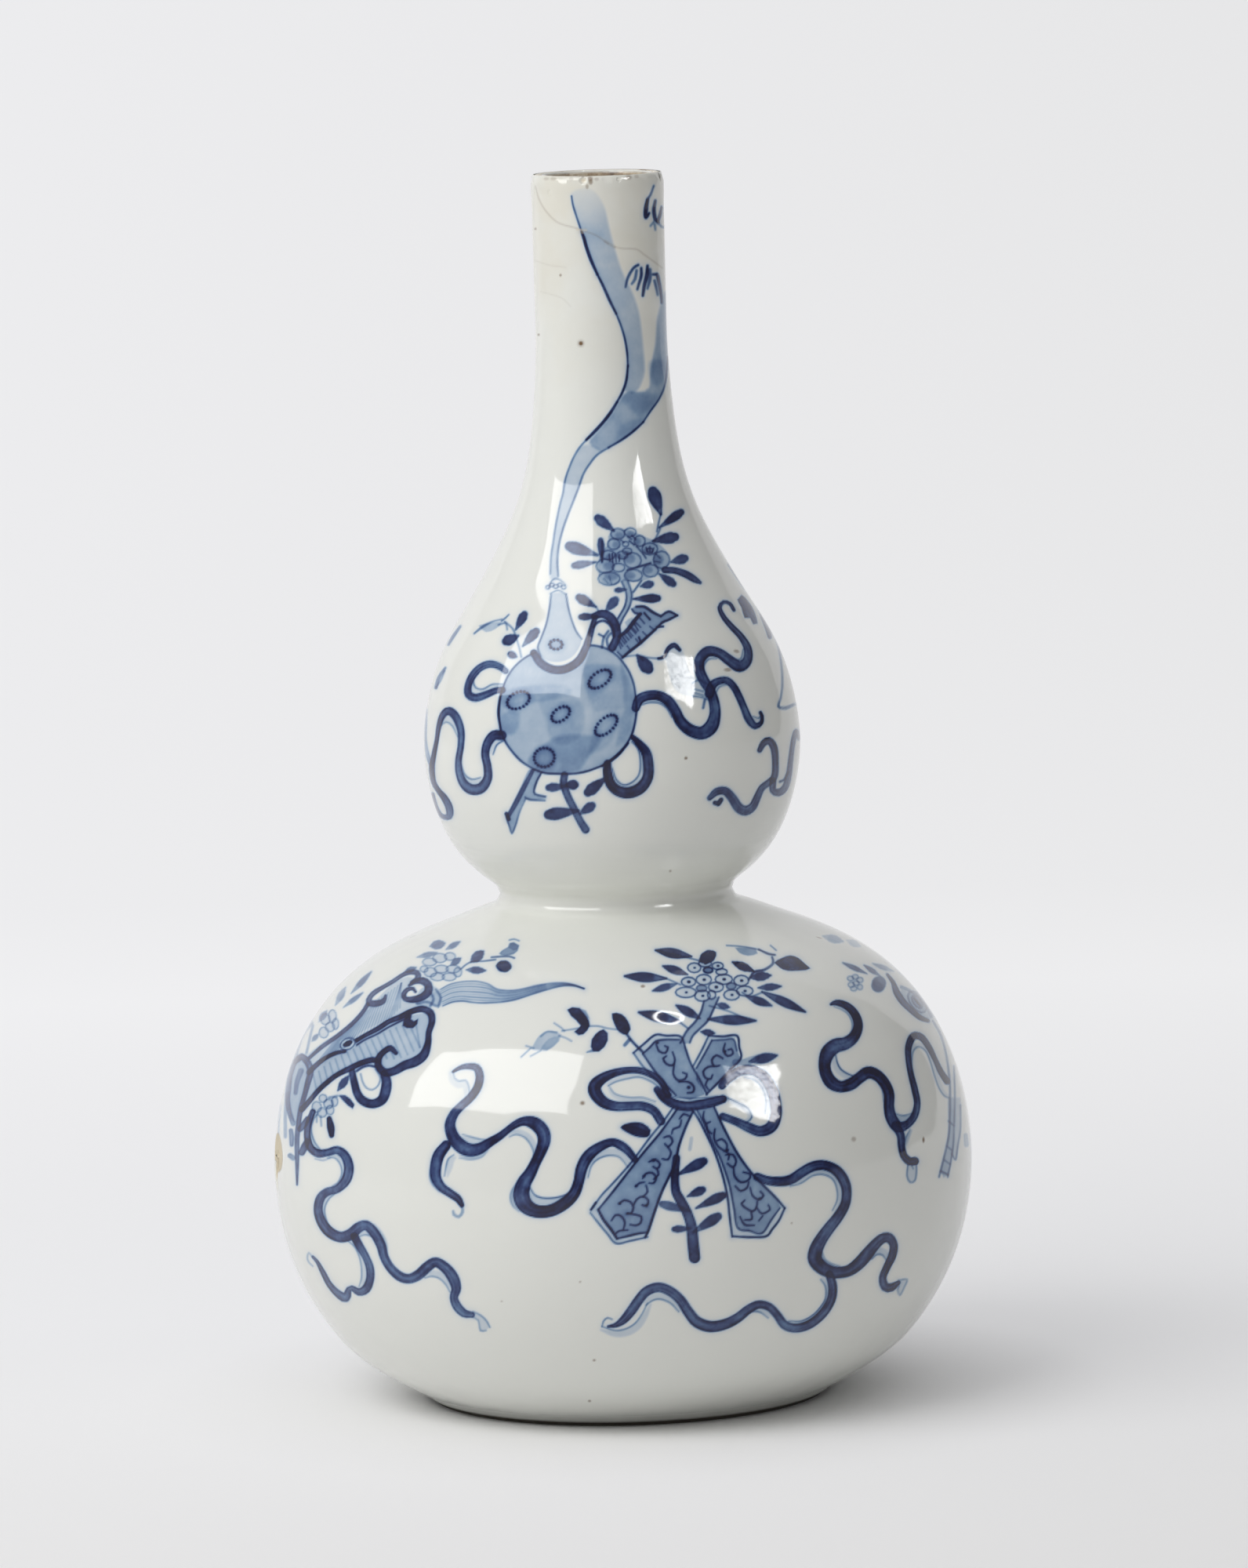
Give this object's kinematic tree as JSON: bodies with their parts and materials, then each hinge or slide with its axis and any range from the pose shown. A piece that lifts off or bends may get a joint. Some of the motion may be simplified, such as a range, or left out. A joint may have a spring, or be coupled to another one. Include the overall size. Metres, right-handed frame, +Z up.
{
  "type": "double gourd vase",
  "caption": "Blue-and-white porcelain vase of double gourd shape with a long straight neck, painted with ribboned emblems and flower sprays.",
  "frame": {"origin": "centre of the foot ring, on the plane it stands on", "axes": "+Z up along the vase's axis, -Y towards the painted side seen in the picture"},
  "size_m": [0.1428, 0.1428, 0.25],
  "materials": {
    "fired_clay": "unglazed porcelain, fine and matt, warm white",
    "luting_slip": "dried porcelain slip, matt",
    "painted_glaze": "clear glossy glaze over cobalt blue brushwork on white porcelain",
    "plain_glaze": "clear glossy glaze over white porcelain"
  },
  "bodies": {
    "root": {"lower_bulb_bowl": "fired_clay", "belly_luting_slip": "luting_slip", "lower_bulb_shoulder": "fired_clay", "waist_luting_slip": "luting_slip", "upper_bulb": "fired_clay", "neck_luting_slip": "luting_slip", "neck_tube": "fired_clay", "outer_glaze": "painted_glaze", "inner_glaze": "plain_glaze", "base_glaze": "plain_glaze"}
  },
  "joints": []
}
